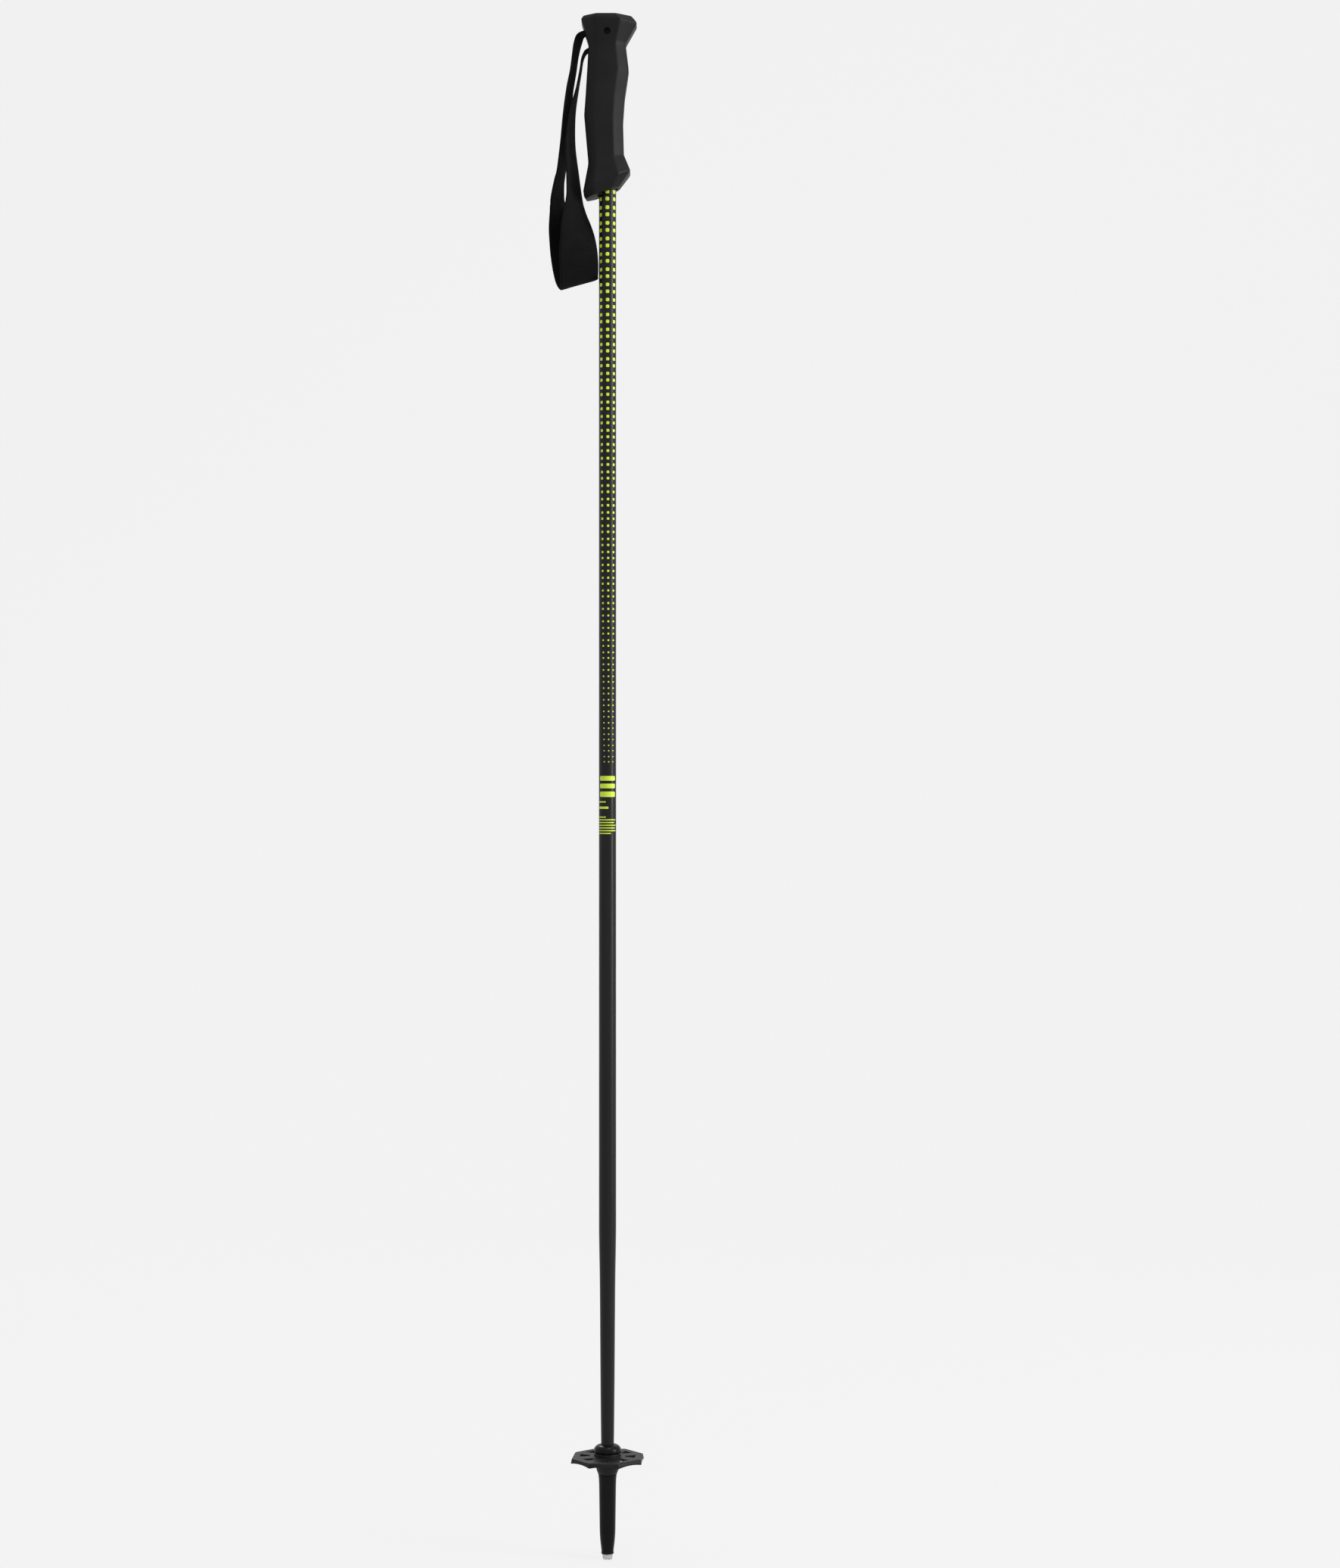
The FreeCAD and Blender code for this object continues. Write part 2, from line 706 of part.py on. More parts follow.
for item in doc.Objects:
    if "Invalid" in item.State or "Error" in item.State:
        raise RuntimeError(f"{item.Name} is {item.State}")
for piece in pieces:
    if piece.Shape.isNull() or not piece.Shape.isValid():
        raise RuntimeError(f"{piece.Label} has no valid shape")
for piece in pieces:
    piece.Shape.exportStep(f"parts/{piece.Label}.step")
    print(f"{piece.Label}: {piece.Shape.Volume / 1000:.2f} cm3, {len(piece.Shape.Solids)} solid")
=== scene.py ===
import math

import bmesh
import bpy
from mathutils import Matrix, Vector, noise


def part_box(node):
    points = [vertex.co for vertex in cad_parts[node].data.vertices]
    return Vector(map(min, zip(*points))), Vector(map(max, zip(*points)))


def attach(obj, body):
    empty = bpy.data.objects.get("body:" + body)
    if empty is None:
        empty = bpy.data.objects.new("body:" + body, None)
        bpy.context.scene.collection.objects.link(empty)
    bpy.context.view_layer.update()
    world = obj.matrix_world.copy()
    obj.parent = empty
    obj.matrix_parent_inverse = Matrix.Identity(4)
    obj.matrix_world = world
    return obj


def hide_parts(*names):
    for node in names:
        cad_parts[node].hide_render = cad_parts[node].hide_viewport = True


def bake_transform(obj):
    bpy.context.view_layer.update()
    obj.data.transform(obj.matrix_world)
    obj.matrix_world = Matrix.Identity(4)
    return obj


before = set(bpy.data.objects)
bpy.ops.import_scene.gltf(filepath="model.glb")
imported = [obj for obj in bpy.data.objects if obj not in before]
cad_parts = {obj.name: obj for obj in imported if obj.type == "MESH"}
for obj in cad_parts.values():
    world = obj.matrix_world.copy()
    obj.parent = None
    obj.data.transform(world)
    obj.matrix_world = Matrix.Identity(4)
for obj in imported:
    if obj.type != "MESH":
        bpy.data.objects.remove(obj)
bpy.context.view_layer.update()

MM = 0.001
LOW, HIGH = 0, 1
scene = bpy.context.scene


# ---------------------------------------------------------------- places from the frame

SHAFT_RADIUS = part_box("shaft_tube")[HIGH][0]
SHAFT_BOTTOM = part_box("shaft_tube")[LOW][2]
SHAFT_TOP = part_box("shaft_tube")[HIGH][2]


# ---------------------------------------------------------------- camera, lights and stage

CAMERA_PLACE = (0.0507, -2.4, 0.6288)
LENS = 67.9
SENSOR_WIDTH = 36.0
WORLD_STRENGTH = 0.885

# name, place, the point it faces, width and height in metres, and power in watts
LIGHTS = (
    ("key", (2.4, -0.95, 1.35), (0, 0, 0.8), (0.8, 2.1), 64),
    ("top", (0.5, -0.6, 3.1), (0, 0, 0.6), (1.1, 1.1), 19),
    ("back", (-1.0, 2.2, 2.6), (0, 0, 0.8), (0.8, 0.8), 26),
)


def make_camera():
    """Level with the middle of the pole, as far off as the picture's perspective shows."""
    data = bpy.data.cameras.new("camera")
    data.lens = LENS
    data.sensor_width = SENSOR_WIDTH
    camera = bpy.data.objects.new("camera", data)
    camera.location = CAMERA_PLACE
    camera.rotation_euler = (math.radians(90), 0, 0)
    scene.collection.objects.link(camera)
    scene.camera = camera


def area_light(name, place, target, size, power):
    """A soft light that the camera doesn't see."""
    data = bpy.data.lights.new(name, "AREA")
    data.shape = "RECTANGLE"
    data.size, data.size_y = size
    data.energy = power
    light = bpy.data.objects.new(name, data)
    light.location = place
    light.rotation_euler = (Vector(target) - Vector(place)).to_track_quat("-Z", "Y").to_euler()
    light.visible_camera = False
    scene.collection.objects.link(light)


def make_lights():
    world = bpy.data.worlds.new("studio")
    world.use_nodes = True
    world.node_tree.nodes["Background"].inputs["Color"].default_value = (1, 1, 1, 1)
    world.node_tree.nodes["Background"].inputs["Strength"].default_value = WORLD_STRENGTH
    scene.world = world
    for light in LIGHTS:
        area_light(*light)


def make_stage():
    """A wide pale floor that curves up into a backdrop a long way behind."""
    depth, bend, width, height, reach = 3.2, 1.4, 9.0, 6.0, 40.0
    outline = [(depth - bend, 0.0)]
    for step in range(1, 13):
        turn = math.radians(90 * step / 12)
        outline.append((depth - bend + bend * math.sin(turn), bend - bend * math.cos(turn)))
    outline.append((depth, height))
    corners = [(x, y, z) for y, z in outline for x in (-width, width)]
    faces = [(2 * i, 2 * i + 1, 2 * i + 3, 2 * i + 2) for i in range(len(outline) - 1)]
    first, back = len(corners), depth - bend
    corners += [(-reach, -reach, 0), (reach, -reach, 0), (reach, back, 0), (-reach, back, 0)]
    faces.append((first, first + 1, first + 2, first + 3))
    mesh = bpy.data.meshes.new("backdrop")
    mesh.from_pydata(corners, [], faces)
    mesh.shade_smooth()
    floor = bpy.data.objects.new("backdrop", mesh)
    scene.collection.objects.link(floor)
    paper = bpy.data.materials.new("pale_paper")
    paper.use_nodes = True
    shader = paper.node_tree.nodes["Principled BSDF"]
    shader.inputs["Base Color"].default_value = (0.05, 0.05, 0.05, 1)
    shader.inputs["Emission Color"].default_value = (1, 1, 1, 1)
    shader.inputs["Emission Strength"].default_value = 0.825
    shader.inputs["Roughness"].default_value = 0.95
    shader.inputs["Specular IOR Level"].default_value = 0.0
    mesh.materials.append(paper)


# ---------------------------------------------------------------- materials


class Surface:
    """A principled material with helpers for the nodes that give it its detail."""

    def __init__(self, name, roughness, specular=0.5, metallic=0.0):
        self.material = bpy.data.materials.new(name)
        self.material.use_nodes = True
        self.tree = self.material.node_tree
        self.shader = self.tree.nodes["Principled BSDF"]
        self.shader.inputs["Roughness"].default_value = roughness
        self.shader.inputs["Specular IOR Level"].default_value = specular
        self.shader.inputs["Metallic"].default_value = metallic
        self.place = self.node("ShaderNodeTexCoord").outputs["Object"]

    def node(self, kind, **inputs):
        made = self.tree.nodes.new(kind)
        for name, value in inputs.items():
            made.inputs[name].default_value = value
        return made

    def link(self, start, end):
        self.tree.links.new(start, end)

    def stretched(self, scale):
        """Object coordinates, scaled differently along each axis."""
        mapping = self.node("ShaderNodeMapping", Scale=scale)
        self.link(self.place, mapping.inputs["Vector"])
        return mapping.outputs["Vector"]

    def noise(self, scale, detail=3.0, rough=0.55, vector=None):
        made = self.node("ShaderNodeTexNoise", Scale=scale, Detail=detail, Roughness=rough)
        self.link(vector or self.place, made.inputs["Vector"])
        return made.outputs["Fac"]

    def spread(self, source, low, high, start=0.3, end=0.7):
        """Map a pattern's range to another one."""
        made = self.node("ShaderNodeMapRange")
        made.inputs["From Min"].default_value = start
        made.inputs["From Max"].default_value = end
        made.inputs["To Min"].default_value = low
        made.inputs["To Max"].default_value = high
        self.link(source, made.inputs["Value"])
        return made.outputs["Result"]

    def mixed(self, factor, first, second):
        """Blend two colours by a pattern."""
        made = self.node("ShaderNodeMix")
        made.data_type = "RGBA"
        made.inputs[6].default_value = (*first, 1)
        made.inputs[7].default_value = (*second, 1)
        self.link(factor, made.inputs[0])
        return made.outputs[2]

    def colour(self, source):
        self.link(source, self.shader.inputs["Base Color"])

    def roughness(self, source):
        self.link(source, self.shader.inputs["Roughness"])

    def bump(self, *layers):
        """Bump from one or more (pattern, distance in metres) pairs."""
        normal = None
        for pattern, distance in layers:
            made = self.node("ShaderNodeBump", Strength=1.0, Distance=distance)
            self.link(pattern, made.inputs["Height"])
            if normal:
                self.link(normal, made.inputs["Normal"])
            normal = made.outputs["Normal"]
        self.link(normal, self.shader.inputs["Normal"])


def grip_rubber():
    """Soft-touch rubber: fine grain and cloudy wear."""
    look = Surface("grip_rubber", 0.5, specular=0.135)
    clouds = look.noise(38, detail=4)
    grain = look.noise(2600, detail=2)
    tone = look.mixed(look.spread(clouds, 0, 1), (0.0034, 0.0034, 0.0036), (0.0062, 0.0062, 0.0064))
    look.colour(tone)
    look.roughness(look.spread(clouds, 0.44, 0.58))
    look.bump((grain, 0.00006), (look.noise(420), 0.00008))
    return look.material


def shaft_lacquer():
    """Dark satin lacquer over fibre, with faint long streaks from its winding."""
    look = Surface("shaft_lacquer", 0.34, specular=0.19)
    streaks = look.noise(1, detail=5, vector=look.stretched((420, 420, 9)))
    tone = look.mixed(look.spread(streaks, 0, 1), (0.0042, 0.0041, 0.0044), (0.0066, 0.0065, 0.0069))
    look.colour(tone)
    look.roughness(look.spread(look.noise(60, detail=5), 0.28, 0.4))
    look.bump((look.noise(900, detail=2), 0.00001), (streaks, 0.000015))
    return look.material


def mark_print():
    """Light green ink, slightly uneven."""
    look = Surface("mark_print", 0.45, specular=0.4)
    patches = look.noise(900, detail=4)
    look.colour(look.mixed(look.spread(patches, 0, 1), (0.4, 0.53, 0.022), (0.47, 0.59, 0.035)))
    look.roughness(look.spread(patches, 0.38, 0.52))
    look.bump((patches, 0.00001))
    return look.material


def webbing_cloth():
    """Black ribbed webbing with a little fuzz. Its colour is painted lighter on the rib crowns and
    darker in the hollows between ribs: painted highlight and painted shade.
    """
    look = Surface("webbing_cloth", 0.8, specular=0.06)
    threads = look.noise(1900, detail=3)
    clouds = look.noise(90, detail=4)
    # the ribs' height, stored on the mesh, paints shade into the hollows between ribs and a highlight
    # onto their crowns
    painted_rib_shading = look.node("ShaderNodeAttribute")
    painted_rib_shading.attribute_name = "painted_rib_shading"
    lit = look.node("ShaderNodeMath")
    lit.operation = "MULTIPLY"
    look.link(look.spread(threads, 0.35, 1), lit.inputs[0])
    look.link(painted_rib_shading.outputs["Fac"], lit.inputs[1])
    look.colour(look.mixed(lit.outputs[0], (0.0015, 0.0015, 0.0016), (0.0064, 0.0064, 0.0067)))
    look.roughness(look.spread(clouds, 0.78, 0.95))
    look.bump((threads, 0.00008), (look.noise(5200, detail=2), 0.00003))
    look.shader.inputs["Sheen Weight"].default_value = 0.02
    look.shader.inputs["Sheen Roughness"].default_value = 0.5
    return look.material


def moulded_plastic(name, dark, light, roughness, grain, specular=0.17):
    """Moulded plastic: cloudy tone, light scuffs and a fine moulded grain."""
    look = Surface(name, roughness, specular=specular)
    clouds = look.noise(55, detail=4)
    scuffs = look.noise(1, detail=6, rough=0.7, vector=look.stretched((900, 900, 160)))
    look.colour(look.mixed(look.spread(clouds, 0, 1), dark, light))
    look.roughness(look.spread(scuffs, roughness - 0.06, roughness + 0.12))
    look.bump((look.noise(2100, detail=2), grain), (scuffs, 0.00001))
    return look.material


def worn_metal(name, tone, roughness):
    """Bare metal with small pits and darker specks."""
    look = Surface(name, roughness, metallic=1.0)
    specks = look.noise(1700, detail=5, rough=0.65)
    dark = tuple(part * 0.3 for part in tone)
    look.colour(look.mixed(look.spread(specks, 0, 1, 0.4, 0.56), dark, tone))
    look.roughness(look.spread(specks, roughness + 0.2, roughness - 0.08))
    look.bump((specks, 0.00006))
    return look.material


# ---------------------------------------------------------------- mesh helpers

# Distances, in metres, below which points count as one, and angles in degrees.
SAME_POINT = 0.000004
SLIVER_POINT = 0.000006
LATHE_POINT = 0.000001
FLAT_ANGLE = 1.2
SHARP_ANGLE = 40
GRIP_SHARP_ANGLE = 28
CURVE_PARTS = 40


def add_piece(name, mesh, material, body=None, replaced=()):
    """Put a finished mesh in the scene as a piece of the pole."""
    piece = bpy.data.objects.new(name, mesh)
    scene.collection.objects.link(piece)
    mesh.materials.clear()
    mesh.materials.append(material)
    if body:
        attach(piece, body)
    if replaced:
        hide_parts(*replaced)
    return piece


def applied(piece):
    """Bake a piece's modifiers into its mesh."""
    bpy.context.view_layer.update()
    graph = bpy.context.evaluated_depsgraph_get()
    mesh = bpy.data.meshes.new_from_object(piece.evaluated_get(graph))
    piece.modifiers.clear()
    piece.data = mesh


def softened(node, name, width, steps, material, body, crease=20, share=None):
    """A copy of a CAD node whose edges are rounded as a mould rounds them.

    share gives the part of the full width that an edge between two places is rounded by.
    """
    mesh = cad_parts[node].data.copy()
    shell = bmesh.new()
    shell.from_mesh(mesh)
    bmesh.ops.remove_doubles(shell, verts=shell.verts, dist=SAME_POINT)
    flat = math.radians(FLAT_ANGLE)
    bmesh.ops.dissolve_limit(shell, angle_limit=flat, verts=shell.verts, edges=shell.edges)
    if share:
        weight = shell.edges.layers.float.new("bevel_weight_edge")
        for edge in shell.edges:
            if len(edge.link_faces) == 2 and edge.calc_face_angle(0) > math.radians(crease):
                edge[weight] = share(edge.verts[0].co, edge.verts[1].co)
    shell.to_mesh(mesh)
    shell.free()
    piece = add_piece(name, mesh, material, body, [node])
    bevel = piece.modifiers.new("edges", "BEVEL")
    bevel.width = width
    bevel.segments = steps
    bevel.limit_method = "WEIGHT" if share else "ANGLE"
    bevel.angle_limit = math.radians(crease)
    bevel.use_clamp_overlap = False
    applied(piece)
    cleaned(piece)
    piece.data.shade_smooth()
    weighted = piece.modifiers.new("normals", "WEIGHTED_NORMAL")
    weighted.keep_sharp = True


def cleaned(piece):
    """Take out the slivers and doubled points that rounding and cutting leave."""
    shell = bmesh.new()
    shell.from_mesh(piece.data)
    bmesh.ops.remove_doubles(shell, verts=shell.verts, dist=SLIVER_POINT)
    bmesh.ops.dissolve_degenerate(shell, edges=shell.edges, dist=SAME_POINT)
    shell.to_mesh(piece.data)
    shell.free()


def smooth_by_angle(piece, degrees):
    """Smooth shading with sharp edges where faces meet at more than an angle."""
    piece.data.shade_smooth()
    shell = bmesh.new()
    shell.from_mesh(piece.data)
    for edge in shell.edges:
        if len(edge.link_faces) == 2 and edge.calc_face_angle(0) > math.radians(degrees):
            edge.smooth = False
    shell.to_mesh(piece.data)
    shell.free()


def lathe(outline, turns=96):
    """A mesh turned about the pole's axis from (radius, height) points, closed where radius is 0."""
    shell = bmesh.new()
    rings = []
    for radius, height in outline:
        if radius < 1e-7:
            rings.append([shell.verts.new((0, 0, height))] * turns)
            continue
        ring = []
        for step in range(turns):
            turn = 2 * math.pi * step / turns
            ring.append(shell.verts.new((radius * math.cos(turn), radius * math.sin(turn), height)))
        rings.append(ring)
    for below, above in zip(rings, rings[1:]):
        for step in range(turns):
            after = (step + 1) % turns
            corners = [below[step], below[after], above[after], above[step]]
            corners = list(dict.fromkeys(corners))
            if len(corners) > 2:
                shell.faces.new(corners)
    bmesh.ops.remove_doubles(shell, verts=shell.verts, dist=LATHE_POINT)
    bmesh.ops.recalc_face_normals(shell, faces=shell.faces)
    mesh = bpy.data.meshes.new("lathe")
    shell.to_mesh(mesh)
    shell.free()
    return mesh


def curve_through(points, closed, step):
    """Points at even steps along a Catmull-Rom curve through rows of numbers.

    The first three numbers of a row are a place. The others are carried along with it.
    """
    count = len(points)
    spans = count if closed else count - 1
    dense = []
    for span in range(spans):
        if closed:
            a, b, c, d = (points[(span + offset) % count] for offset in (-1, 0, 1, 2))
        else:
            near = (min(max(span + offset, 0), count - 1) for offset in (-1, 0, 1, 2))
            a, b, c, d = (points[number] for number in near)
        for part in range(CURVE_PARTS):
            share = part / CURVE_PARTS
            dense.append([blended(*values, share) for values in zip(a, b, c, d)])
    dense.append(list(points[0] if closed else points[-1]))
    lengths = [0.0]
    for before, after in zip(dense, dense[1:]):
        lengths.append(lengths[-1] + math.dist(before[:3], after[:3]))
    steps = max(2, round(lengths[-1] / step))
    rows = []
    index = 0
    for number in range(steps if closed else steps + 1):
        wanted = lengths[-1] * number / steps
        while index < len(lengths) - 2 and lengths[index + 1] < wanted:
            index += 1
        part = (wanted - lengths[index]) / max(lengths[index + 1] - lengths[index], 1e-9)
        rows.append([x + (y - x) * part for x, y in zip(dense[index], dense[index + 1])])
    return rows, lengths[-1]


def blended(a, b, c, d, part):
    """One number of a Catmull-Rom curve between b and c."""
    return 0.5 * (
        2 * b + (c - a) * part + (2 * a - 5 * b + 4 * c - d) * part ** 2
        + (3 * b - a - 3 * c + d) * part ** 3
    )


# ---------------------------------------------------------------- shaft and its printed marks

# Radius and height of the tube's outside, in millimetres. It is straight above the last one.
TAPER = ((5.2, 92.0), (5.45, 110.0), (5.8, 150.0), (6.3, 221.0), (6.75, 250.0), (7.0, 268.0))
TAPER_STEP = 0.004
TUBE_WALL = 1.3 * MM


def make_shaft():
    """The tube with a smooth taper, outside and inside."""
    nose = [(radius * MM, height * MM) for radius, height in TAPER]
    smooth, _ = curve_through([(radius, height, 0) for radius, height in nose], False, TAPER_STEP)
    outside = [(nose[0][0], SHAFT_BOTTOM)]
    outside += [(radius, height) for radius, height, _ in smooth]
    outside += [(SHAFT_RADIUS, 0.3 + 0.1 * step) for step in range(9)]
    outside += [(SHAFT_RADIUS, SHAFT_TOP)]
    inside = [(radius - TUBE_WALL, height) for radius, height in reversed(outside)]
    mesh = lathe([*outside, *inside, outside[0]])
    shaft = add_piece("shaft", mesh, shaft_lacquer(), "pole", ["shaft_tube"])
    smooth_by_angle(shaft, SHARP_ANGLE)


# The column of marks runs down from MARK_TOP. Pairs hold the value at its top and at its bottom.
MARKS = 43
MARK_TOP, MARK_PITCH, MARK_CURVE = 1.1054, 0.5375, 0.0810
MARK_HEIGHT = (8.9 * MM, 5.2 * MM)
MARK_HALF_ARC = (math.radians(66), math.radians(34))
DOT = (3.1 * MM, 0.95 * MM)
MARK_DRIFT = math.radians(9)
INK = 0.03 * MM
FACING_CAMERA = -math.pi / 2


def share_of(pair, share):
    """The value a share of the way from a pair's first to its second."""
    return pair[0] + (pair[1] - pair[0]) * share


def ink_patch(shell, angle, height, half_arc, half_height, corner):
    """A rounded rectangle of ink that follows the shaft's surface."""
    radius = SHAFT_RADIUS + INK
    columns = max(8, round(half_arc * radius / (0.35 * MM)))
    lower, upper = [], []
    for column in range(columns + 1):
        # the columns crowd towards the ends, where the corners are
        share = math.sin(math.pi / 2 * (-1 + 2 * column / columns))
        from_end = (1 - abs(share)) * half_arc * radius
        inset = 0.0
        if from_end < corner:
            inset = corner - math.sqrt(corner ** 2 - (corner - from_end) ** 2)
        turn = FACING_CAMERA + angle + share * half_arc
        x, y = radius * math.cos(turn), radius * math.sin(turn)
        reach = max(half_height - inset, 0.02 * half_height)
        lower.append(shell.verts.new((x, y, height - reach)))
        upper.append(shell.verts.new((x, y, height + reach)))
    for column in range(columns):
        shell.faces.new((lower[column], lower[column + 1], upper[column + 1], upper[column]))


def make_marks():
    """A column of plain groups of dots that fades down the shaft, and a block of plain dashes."""
    shell = bmesh.new()
    for number in range(MARKS):
        share = number / (MARKS - 1)
        height = MARK_TOP - MARK_PITCH * share + MARK_CURVE * share ** 2
        dot = share_of(DOT, share)
        half_turn = dot / 2 / SHAFT_RADIUS
        arc = share_of(MARK_HALF_ARC, share) - half_turn
        rise = (share_of(MARK_HEIGHT, share) - dot) / 2
        for side in (-1, 0, 1):
            for level in (-1, 1):
                angle = MARK_DRIFT * share + side * arc
                ink_patch(shell, angle, height + level * rise, half_turn, dot / 2, dot * 0.3)
    add_dashes(shell)
    mesh = bpy.data.meshes.new("shaft_marks")
    shell.to_mesh(mesh)
    shell.free()
    marks = add_piece("shaft_marks", mesh, mark_print(), "pole")
    film = marks.modifiers.new("film", "SOLIDIFY")
    film.thickness = 2 * INK
    film.offset = -1
    applied(marks)
    smooth_by_angle(marks, SHARP_ANGLE)


# Plain dashes below the marks, thick ones first: height in metres, first and last angle in
# degrees, and half height in millimetres.
DASHES = (
    (0.6334, -58, 60, 1.9), (0.6272, -58, 60, 1.9), (0.6205, -58, 60, 2.2),
    (0.6143, -68, -11, 0.5), (0.6096, -68, 7, 0.9),
    (0.6020, -68, -10, 0.45), (0.5998, -68, 62, 0.45), (0.5976, -68, 52, 0.45),
    (0.5954, -68, 66, 0.45), (0.5932, -68, 58, 0.45), (0.5910, -68, 66, 0.45),
    (0.5888, -68, 24, 0.45),
)


def add_dashes(shell):
    for height, first, last, half in DASHES:
        middle = math.radians(first + last) / 2
        ink_patch(shell, middle, height, math.radians(last - first) / 2, half * MM, half * 0.6 * MM)


# ---------------------------------------------------------------- ferrule, basket and tip

# Radius and height round the ferrule's outline, in millimetres: up its outside, then down its
# bore to the bottom edge again.
FERRULE = (
    (2.6, 4.6), (5.0, 4.6), (5.15, 4.75), (5.12, 5.2), (4.98, 5.7), (5.0, 7.4), (5.25, 9.6),
    (5.65, 12.8), (6.05, 16.6), (6.3, 20.5), (6.45, 25.0), (6.58, 36.0), (6.78, 50.0),
    (6.92, 60.0), (7.12, 65.0), (7.4, 67.6), (7.5, 68.5), (7.45, 68.9), (7.3, 69.0),
    (6.65, 69.0), (6.6, 69.1), (6.6, 86.5), (6.7, 86.6), (10.4, 86.6), (10.85, 86.75),
    (11.08, 87.2), (11.1, 88.2), (11.0, 89.2), (10.6, 90.3), (9.95, 91.2), (9.05, 92.0),
    (8.0, 92.6), (6.9, 93.0), (5.45, 93.2), (5.3, 93.0), (5.27, 92.5), (5.27, 23.0), (2.6, 22.5),
)


def make_ferrule():
    mesh = lathe([(radius * MM, height * MM) for radius, height in (*FERRULE, FERRULE[0])])
    dark, light = (0.002, 0.002, 0.0022), (0.0035, 0.0035, 0.0038)
    look = moulded_plastic("ferrule_plastic", dark, light, 0.24, 0.000012, specular=0.11)
    piece = add_piece("ferrule", mesh, look, "pole", ["tip_ferrule"])
    smooth_by_angle(piece, SHARP_ANGLE)


# The basket's rim and hub, and how far each of its edges is rounded at most.
RIM_TOP = 0.0836
RIM_WIDTH = 4 * MM
HUB_RADIUS = 0.0112
BASKET_EDGE = 1.3 * MM
MOULDED_CREASE = 24


def make_basket():
    dark, light = (0.0042, 0.0042, 0.0045), (0.0068, 0.0068, 0.0072)
    look = moulded_plastic("basket_plastic", dark, light, 0.42, 0.00002)
    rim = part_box("basket")[HIGH][0] - RIM_WIDTH

    def share(start, end):
        """The top of the rim and its corners are rounded most, and its arches not at all."""
        at_rim = all(math.hypot(place.x, place.y) > rim for place in (start, end))
        if at_rim and max(start.z, end.z) > RIM_TOP - 0.1 * MM:
            return 1.0
        low = min(start.z, end.z) < RIM_TOP - 0.5 * MM
        wide = max(math.hypot(place.x, place.y) for place in (start, end)) > HUB_RADIUS
        return 0.0 if low and wide else 0.2

    softened(
        "basket", "basket_shell", BASKET_EDGE, 4, look, "basket",
        crease=MOULDED_CREASE, share=share,
    )


def make_tip():
    look = worn_metal("tip_metal", (0.66, 0.67, 0.69), 0.32)
    softened("tip_insert", "tip_crown", 0.12 * MM, 2, look, "pole", crease=MOULDED_CREASE)


# ---------------------------------------------------------------- grip

# The grip's eight-sided sections from the bottom up, in millimetres: back edge (x, z), front edge
# (x, z), half width, and how far the chamfers come in from the back and from the front.
GRIP_STATIONS = (
    ((-16.8, 1102.7), (9.6, 1112.0), 12.6, 6.6, 6.4),
    ((-19.6, 1107.4), (18.8, 1124.6), 17.8, 8.6, 9.4),
    ((-15.4, 1130.8), (13.3, 1138.2), 14.0, 6.6, 8.0),
    ((-18.8, 1169.6), (12.6, 1165.0), 15.2, 7.2, 8.0),
    ((-17.6, 1186.0), (13.9, 1184.0), 14.8, 7.0, 8.2),
    ((-16.3, 1207.0), (17.3, 1207.0), 14.4, 6.8, 8.6),
    ((-15.2, 1227.6), (14.8, 1227.6), 14.0, 6.0, 8.2),
    ((-21.4, 1247.3), (24.2, 1244.6), 19.4, 11.4, 13.4),
    ((-19.4, 1250.0), (19.5, 1250.0), 18.4, 10.6, 12.6),
)
FACET_EDGE = 1.5 * MM
GRIP_STEP = 0.9 * MM
GRIP_SMOOTHING = 3
GRIP_RIM = 0.8 * MM
FACET_SHARE = 0.32
PIN_HEIGHT = 1236

# What is cut out of the grip, in millimetres: the bore round the shaft and the core, the hole for
# the cross pin with its countersinks, and the strap's chamber and its two slots.
GRIP_BORE = (
    (0, 1095), (8.4, 1095), (8.4, 1113), (9.5, 1113), (9.5, 1219), (12, 1219), (12, 1245), (0, 1245),
)
PIN_HOLE = (
    (0, -30), (2.7, -30), (2.7, -15.2), (2.1, -14.2), (2.1, 14.2), (2.7, 15.2), (2.7, 30), (0, 30),
)
PIN_HOLE_TURNS = 48
STRAP_SPACES = (
    ((-12.5, -7.9, 1220.5), (6.0, 7.9, 1241.5)),
    ((-26.0, -7.9, 1234.9), (0.0, 7.9, 1238.7)),
    ((-26.0, -7.9, 1223.0), (0.0, 7.9, 1226.8)),
)


def station_corners(back, front, half_width, back_chamfer, front_chamfer):
    """The eight corners of one of the grip's sections, in metres."""
    rise = (front[1] - back[1]) / (front[0] - back[0])
    half = [
        (front[0], half_width - 0.8 * front_chamfer),
        (front[0] - front_chamfer, half_width),
        (back[0] + back_chamfer, half_width),
        (back[0], half_width - 0.8 * back_chamfer),
    ]
    corners = half + [(x, -y) for x, y in reversed(half)]
    return [Vector((x, y, back[1] + rise * (x - back[0]))) * MM for x, y in corners]


def rounded_corners(corners):
    """The section's outline with every corner rounded off."""
    ring = []
    for number, corner in enumerate(corners):
        before, after = corners[number - 1], corners[(number + 1) % len(corners)]
        lengths = [FACET_SHARE * (other - corner).length for other in (before, after)]
        reach = min(FACET_EDGE, *lengths)
        start = corner + (before - corner).normalized() * reach
        end = corner + (after - corner).normalized() * reach
        for part in (0, 0.25, 0.5, 0.75, 1):
            ring.append(start.lerp(corner, part).lerp(corner.lerp(end, part), part))
        next_reach = min(FACET_EDGE, lengths[1])
        ring.append(end.lerp(after - (after - corner).normalized() * next_reach, 0.5))
    return ring


